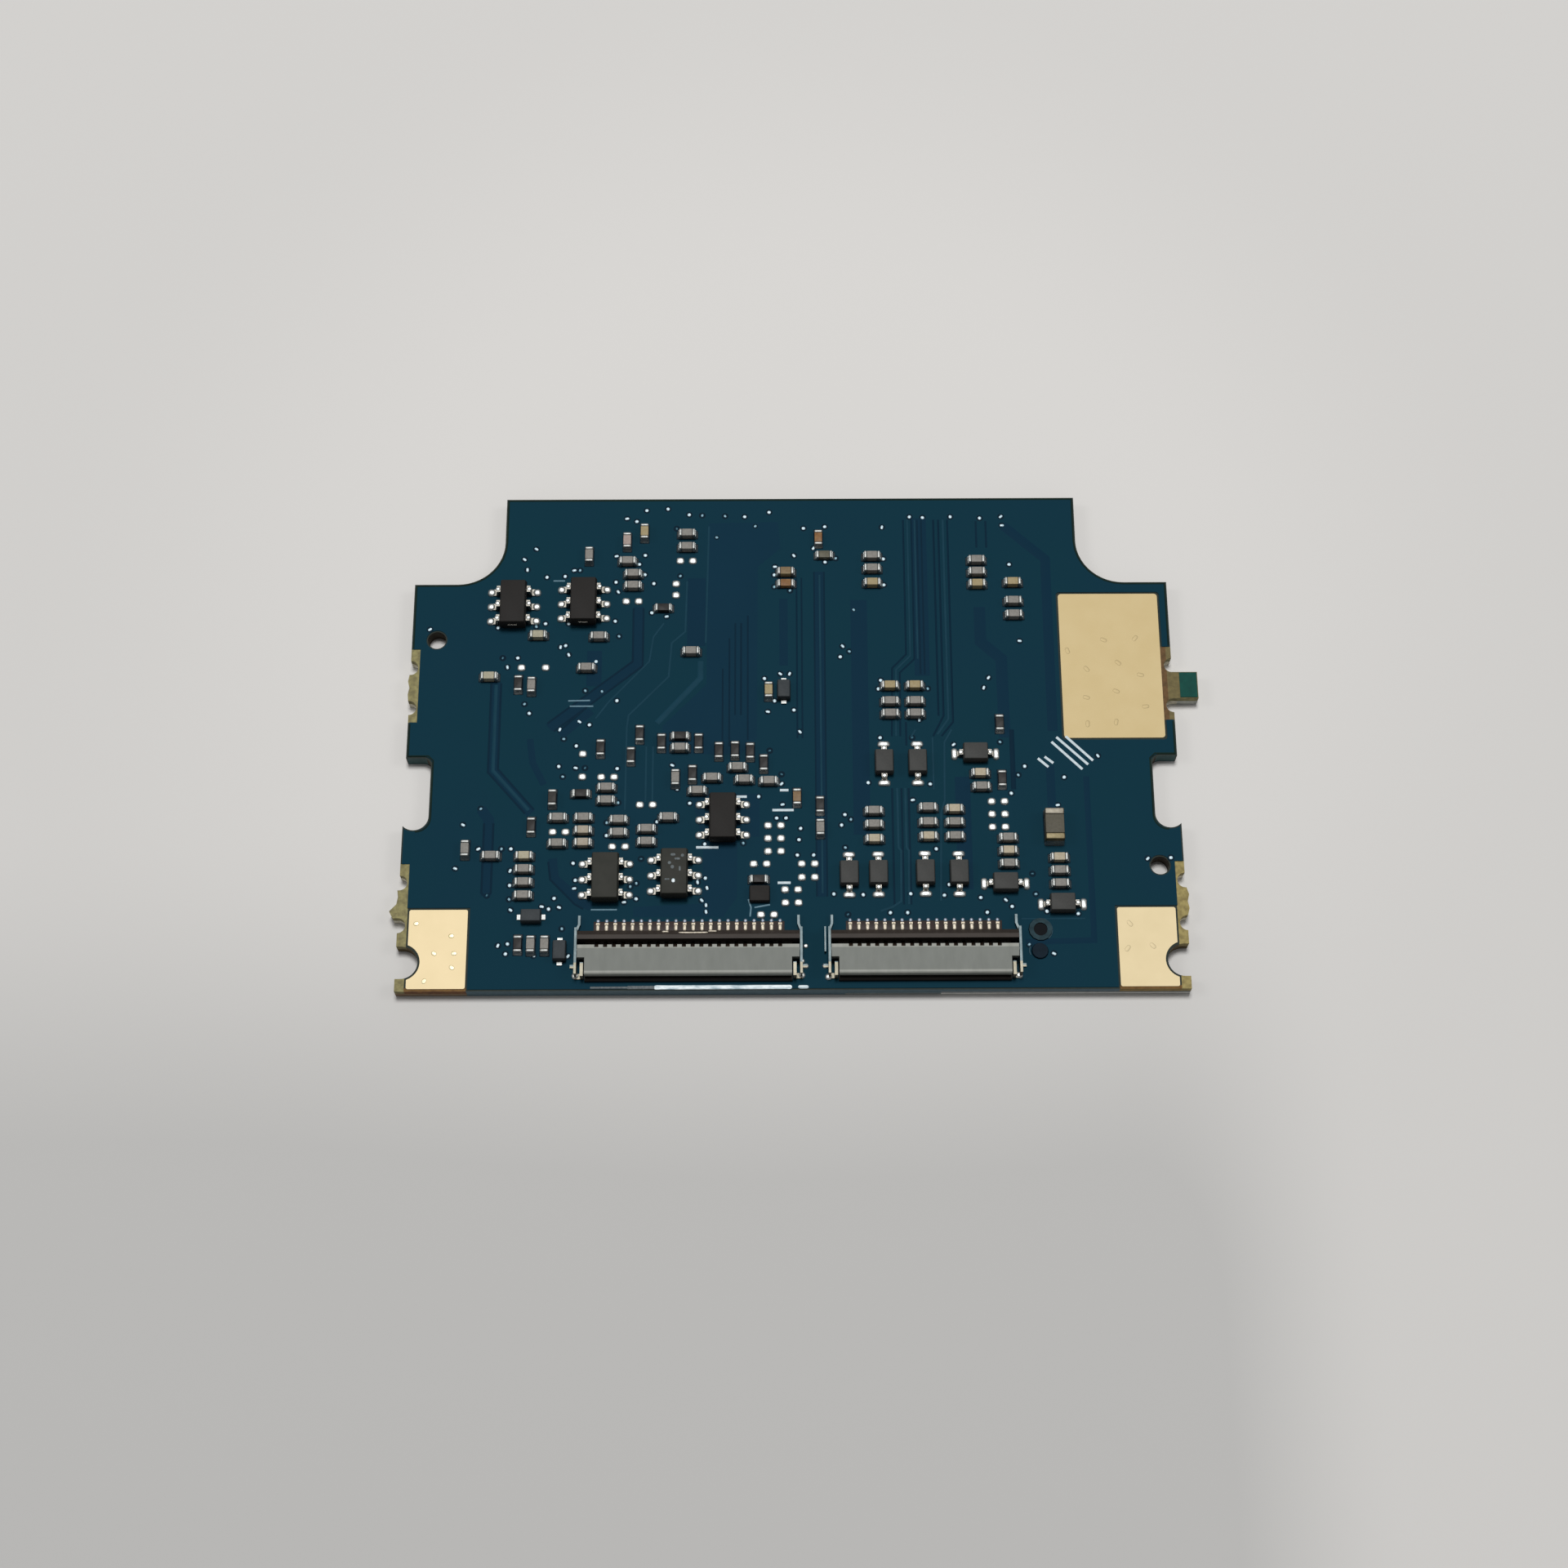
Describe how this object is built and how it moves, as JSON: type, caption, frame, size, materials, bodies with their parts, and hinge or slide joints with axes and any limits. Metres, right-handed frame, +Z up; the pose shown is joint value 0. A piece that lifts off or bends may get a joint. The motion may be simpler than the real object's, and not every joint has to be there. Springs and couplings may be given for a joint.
{
  "type": "keypad circuit board",
  "caption": "Small routed circuit board for a keypad: dark blue-green mask, flip-lock flat-cable sockets on the front edge, surface-mount chips, gold ground pads, side notches.",
  "frame": {"origin": "the middle of the board's flat underside, halfway across its width and halfway from the socket edge to the rear edge", "axes": "+X along the socket edge towards the side with the large gold pad, +Y away from the socket edge, +Z up out of the face that carries the chips"},
  "size_m": [0.0476, 0.0314, 0.0021],
  "materials": {
    "laminate": "matt glass-epoxy",
    "solder_mask": "satin dark blue-green coating",
    "tab_mask": "satin green coating",
    "gold_plating": "satin gold plating",
    "socket_housing": "satin black moulding",
    "socket_latch": "satin grey moulding",
    "tinned_contact": "tinned bronze",
    "socket_clip": "tinned sheet",
    "ic_package": "matt black moulding",
    "diode_package": "matt charcoal moulding",
    "tinned_lead": "tinned",
    "tan_ceramic": "matt tan ceramic",
    "grey_ceramic": "matt grey-brown ceramic",
    "brown_ceramic": "matt brown ceramic",
    "resistor_coating": "dark glassy coating",
    "chip_end": "tinned",
    "solder": "bright solder",
    "sealing_resin": "dark resin"
  },
  "bodies": {
    "board": {"bare_solder_lands": "solder", "circuit_board": "laminate", "diode_1_package": "diode_package", "diode_2_package": "diode_package", "diode_3_package": "diode_package", "diode_4_package": "diode_package", "diode_5_package": "diode_package", "diode_6_package": "diode_package", "diode_7_package": "diode_package", "diode_8_package": "diode_package", "diode_9_package": "diode_package", "front_diode_leads": "tinned_lead", "grey_capacitor_bodies": "grey_ceramic", "grey_capacitor_ends": "chip_end", "ground_pad_front_left": "gold_plating", "ground_pad_front_right": "gold_plating", "ground_pad_rear_right": "gold_plating", "ic_1_leads": "tinned_lead", "ic_1_package": "ic_package", "ic_2_leads": "tinned_lead", "ic_2_package": "ic_package", "ic_3_leads": "tinned_lead", "ic_3_package": "ic_package", "ic_4_leads": "tinned_lead", "ic_4_package": "ic_package", "ic_5_leads": "tinned_lead", "ic_5_package": "ic_package", "key_contact_centres": "gold_plating", "key_contact_rings": "gold_plating", "large_capacitor_body": "brown_ceramic", "large_capacitor_ends": "chip_end", "leadless_package": "diode_package", "left_socket_contacts": "tinned_contact", "left_socket_housing": "socket_housing", "left_socket_left_clip": "socket_clip", "left_socket_right_clip": "socket_clip", "rear_diode_leads": "tinned_lead", "resistor_bodies": "resistor_coating", "resistor_ends": "chip_end", "right_diode_leads": "tinned_lead", "right_socket_contacts": "tinned_contact", "right_socket_housing": "socket_housing", "right_socket_left_clip": "socket_clip", "right_socket_right_clip": "socket_clip", "sealing_dabs": "sealing_resin", "small_diode_1_package": "diode_package", "small_diode_2_package": "diode_package", "small_diode_3_package": "diode_package", "small_diode_leads": "tinned_lead", "solder_mask_top": "solder_mask", "tab_mask": "tab_mask", "tan_capacitor_bodies": "tan_ceramic", "tan_capacitor_ends": "chip_end"},
    "left_latch": {"left_socket_latch": "socket_latch"},
    "right_latch": {"right_socket_latch": "socket_latch"}
  },
  "joints": [
    {"name": "left_latch_hinge", "type": "hinge", "parent": "board", "child": "left_latch", "pos_m": [-0.00597, -0.0135, 0.00168], "axis": [-1, 0, 0], "range_deg": [0, 90]},
    {"name": "right_latch_hinge", "type": "hinge", "parent": "board", "child": "right_latch", "pos_m": [0.00757, -0.0135, 0.00168], "axis": [-1, 0, 0], "range_deg": [0, 90]}
  ]
}
